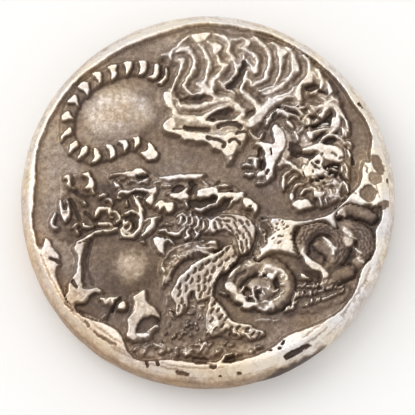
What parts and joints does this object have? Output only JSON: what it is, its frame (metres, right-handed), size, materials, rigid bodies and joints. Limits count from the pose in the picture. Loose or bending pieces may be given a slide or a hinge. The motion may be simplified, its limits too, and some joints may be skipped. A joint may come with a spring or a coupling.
{
  "type": "challenge coin",
  "caption": "Thick silver challenge coin with a tiger above and a dragon below in high relief, oxidised recesses and polished high points.",
  "frame": {"origin": "centre of the back face, on the surface the coin lies on", "axes": "+Z out of the struck face, +Y to the top of the design, where the tiger's back is, +X to the right"},
  "size_m": [0.0389, 0.0394, 0.0055],
  "materials": {
    "polished_silver": "hand-polished silver, warm white, with fine scratches and dark pits",
    "oxidised_silver": "satin silver darkened with a brown-violet patina in the recesses"
  },
  "bodies": {
    "root": {"flan": "oxidised_silver", "rim": "polished_silver", "dividing_band": "polished_silver", "upper_pearl": "oxidised_silver", "lower_pearl": "oxidised_silver", "tiger_body": "polished_silver", "tiger_tail": "polished_silver", "tiger_head": "polished_silver", "tiger_hind_leg": "polished_silver", "tiger_foreleg": "polished_silver", "tiger_front_paw": "polished_silver", "dragon_head": "polished_silver", "dragon_whisker": "polished_silver", "dragon_beard": "polished_silver", "dragon_mane": "polished_silver", "dragon_neck": "polished_silver", "dragon_throat": "oxidised_silver", "dragon_body": "polished_silver", "dragon_foreleg": "polished_silver", "dragon_tail_coil": "polished_silver", "dragon_tail_arch": "oxidised_silver", "dragon_tail_end": "oxidised_silver", "dragon_fins": "oxidised_silver", "cloud_scroll": "polished_silver", "rock": "polished_silver", "waves": "oxidised_silver"}
  },
  "joints": []
}
